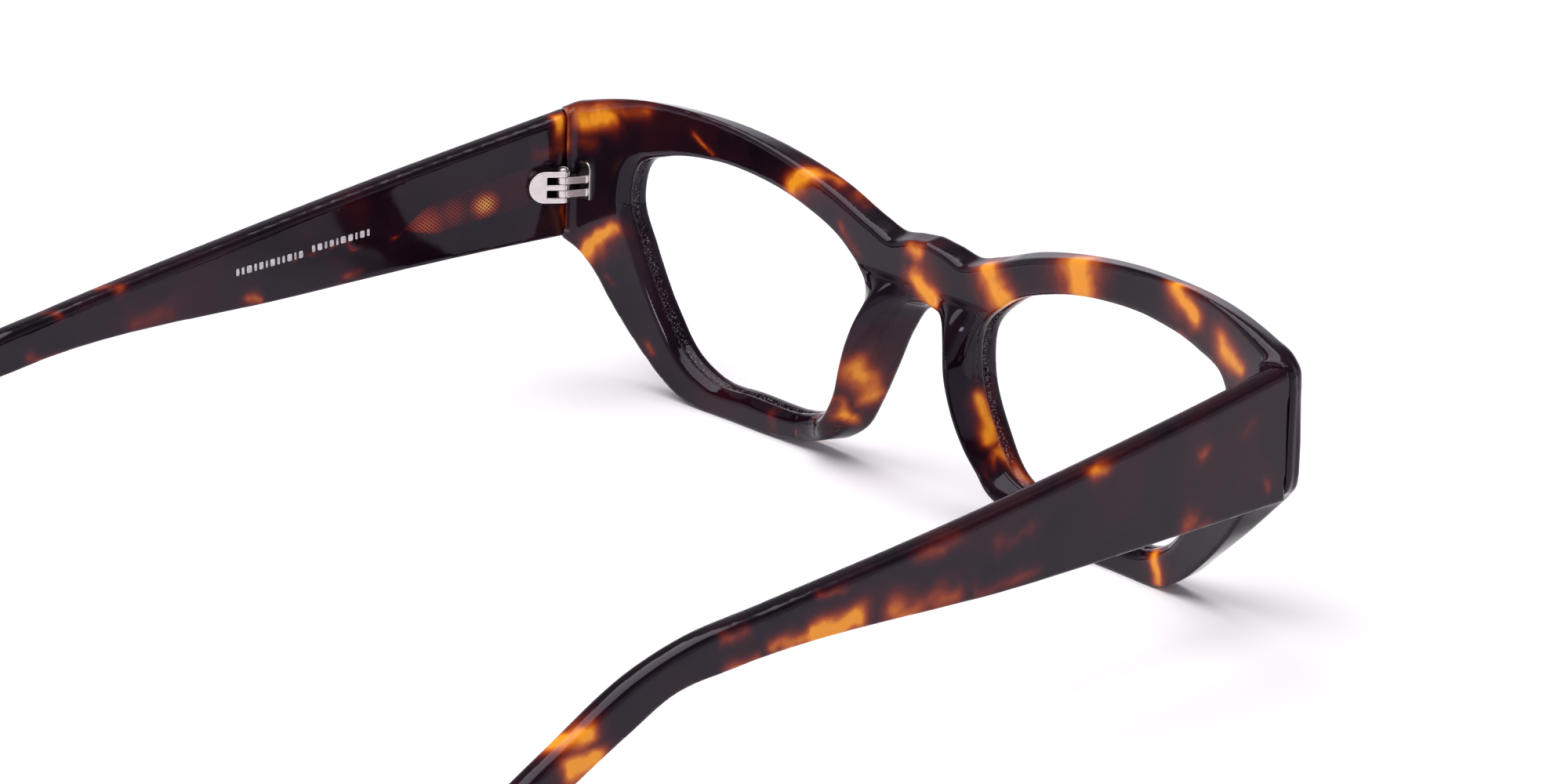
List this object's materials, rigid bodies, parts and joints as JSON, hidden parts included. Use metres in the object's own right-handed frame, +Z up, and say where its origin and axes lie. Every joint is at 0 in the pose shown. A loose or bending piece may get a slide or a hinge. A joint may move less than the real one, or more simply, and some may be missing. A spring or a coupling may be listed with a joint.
{
  "type": "eyeglasses frame",
  "caption": "Acetate eyeglasses frame: angular cat-eye front, bonded nose pads and folding temples on barrel hinges, without lenses.",
  "frame": {"origin": "on the mirror plane at floor level, midway between the front's foremost edge and the temple tips", "axes": "+X to the wearer's left, -Y the way the wearer looks, +Z up; the temples are open"},
  "size_m": [0.1586, 0.1466, 0.0435],
  "materials": {
    "front_acetate": "polished tortoiseshell acetate, near black with amber",
    "pad_acetate": "polished tortoiseshell acetate",
    "temple_acetate": "polished tortoiseshell acetate, near black with amber",
    "hinge_metal": "polished nickel silver",
    "screw_metal": "polished stainless steel",
    "core_metal": "nickel silver, knurled at the blade"
  },
  "bodies": {
    "front": {"front_frame": "front_acetate", "nose_pad_left": "pad_acetate", "nose_pad_right": "pad_acetate", "hinge_front_left": "hinge_metal", "hinge_front_right": "hinge_metal"},
    "temple_left": {"temple_left": "temple_acetate", "core_wire_left": "core_metal", "hinge_temple_left": "hinge_metal", "hinge_screw_left": "screw_metal"},
    "temple_right": {"temple_right": "temple_acetate", "core_wire_right": "core_metal", "hinge_temple_right": "hinge_metal", "hinge_screw_right": "screw_metal"}
  },
  "joints": [
    {"name": "fold_left", "type": "hinge", "parent": "front", "child": "temple_left", "pos_m": [0.07155, -0.06219, 0.02868], "axis": [0, -0.0398, 0.9992], "range_deg": [0, 92]},
    {"name": "fold_right", "type": "hinge", "parent": "front", "child": "temple_right", "pos_m": [-0.07155, -0.06219, 0.02868], "axis": [0, 0.0398, -0.9992], "range_deg": [0, 86]}
  ]
}
